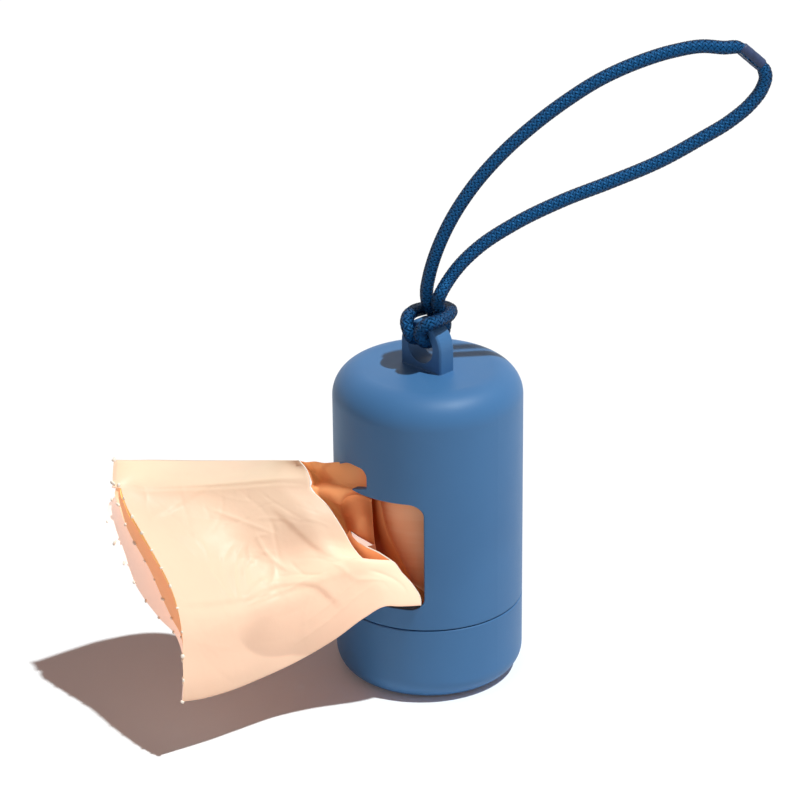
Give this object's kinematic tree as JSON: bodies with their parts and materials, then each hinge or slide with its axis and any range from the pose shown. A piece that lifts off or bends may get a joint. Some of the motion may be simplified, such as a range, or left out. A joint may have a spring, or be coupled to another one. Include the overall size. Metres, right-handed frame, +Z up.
{
  "type": "dog poop bag dispenser",
  "caption": "Pocket dispenser for rolled dog waste bags: push-on base cap, stepped window with a bag drawn out, and a cord loop hitched to the lug.",
  "frame": {"origin": "centre of the base cap's underside, where it stands on the table", "axes": "+Z up along the axis of the housing; the window and the lug face -Y, +X to the right seen from the front"},
  "size_m": [0.1036, 0.1307, 0.157],
  "materials": {
    "blue_plastic": "fine matt moulded texture",
    "core_card": "plain wound card",
    "wound_film": "tightly wound film",
    "bag_film": "thin creased translucent film",
    "elastic_cord": "braided sheath with a silky glint",
    "crimp_metal": "dark satin"
  },
  "bodies": {
    "base": {"base_cap": "blue_plastic"},
    "housing": {"body_shell": "blue_plastic", "film_lead": "bag_film", "cord_hitch": "elastic_cord"},
    "roll": {"bag_roll": "wound_film", "roll_core": "core_card"},
    "bag": {"pulled_bag": "bag_film"},
    "loop": {"cord_upper": "elastic_cord", "cord_lower": "elastic_cord", "cord_crimp": "crimp_metal"}
  },
  "joints": [
    {"name": "shell_lift", "type": "slide", "parent": "base", "child": "housing", "axis": [0, 0, 1], "range_m": [0, 0.03]},
    {"name": "roll_spin", "type": "hinge", "parent": "housing", "child": "roll", "pos_m": [0, 0, 0.03], "axis": [0, 0, 1], "range_deg": [-68, 0]},
    {"name": "bag_pull", "type": "slide", "parent": "housing", "child": "bag", "axis": [-0.39, -0.9208, 0], "range_m": [0, 0.0205]},
    {"name": "loop_swing", "type": "hinge", "parent": "housing", "child": "loop", "pos_m": [0, 0.0015, 0.0961], "axis": [1, 0, 0], "range_deg": [-60, 105]}
  ],
  "couplings": [
    {"joint": "bag_pull", "follows": "roll_spin", "m_per_rad": -0.017}
  ]
}
